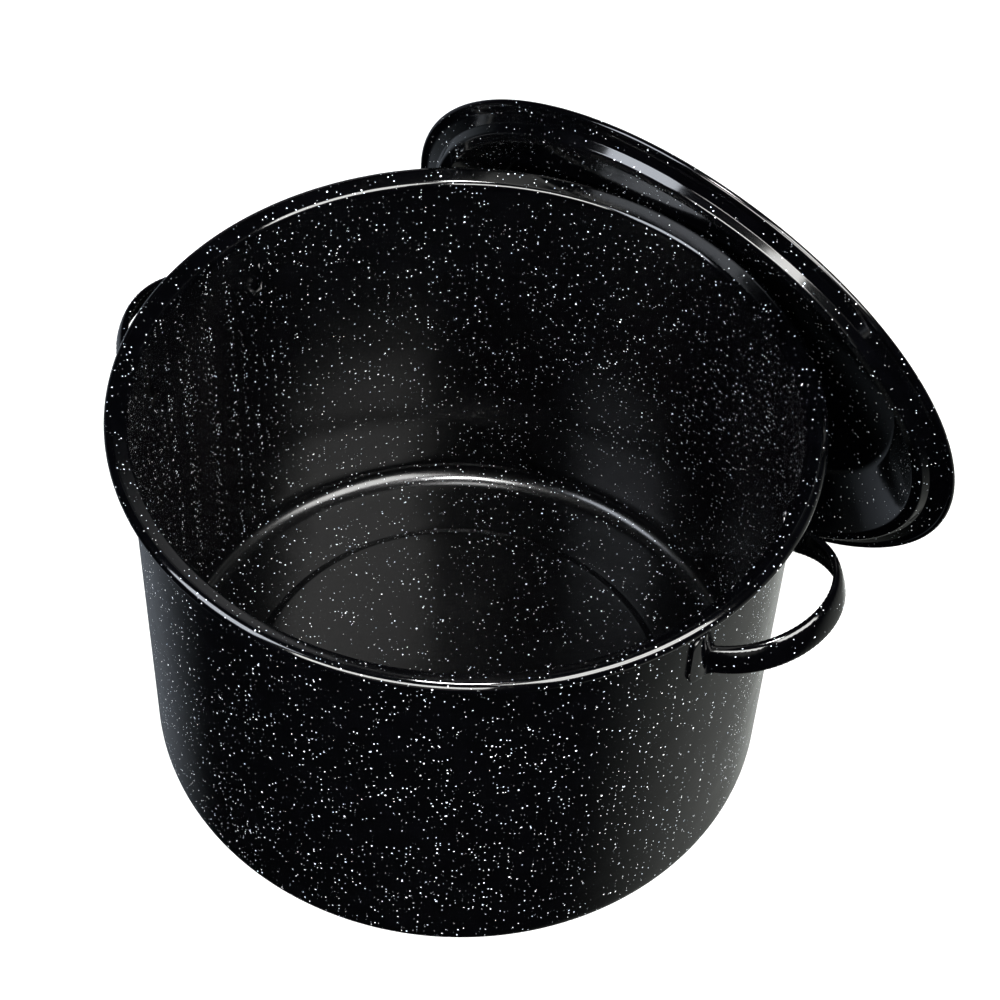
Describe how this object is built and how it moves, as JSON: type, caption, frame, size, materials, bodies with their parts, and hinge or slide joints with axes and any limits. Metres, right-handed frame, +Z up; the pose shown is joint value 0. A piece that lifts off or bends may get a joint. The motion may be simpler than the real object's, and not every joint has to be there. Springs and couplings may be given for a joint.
{
  "type": "water bath canner",
  "caption": "Large speckled enamel steel pot with a rolled rim, a raised ring in its base and loop side handles, with its shallow domed lid leaning open against the rim.",
  "frame": {"origin": "centre of the pot's base, on the surface it stands on", "axes": "+Z up along the pot's axis; +X towards the right side handle; the lid leans against the rim on the +Y side"},
  "size_m": [0.4201, 0.4062, 0.3348],
  "materials": {
    "pot_enamel": "gloss",
    "lid_enamel": "gloss",
    "handle_enamel": "gloss"
  },
  "bodies": {
    "pot": {"pot_body": "pot_enamel", "right_side_handle": "handle_enamel", "left_side_handle": "handle_enamel"},
    "lid": {"lid_shell": "lid_enamel", "lid_handle": "handle_enamel"}
  },
  "joints": [
    {"name": "lid_lift", "type": "slide", "parent": "pot", "child": "lid", "axis": [0, 0, 1], "range_m": [0, 0.26]}
  ]
}
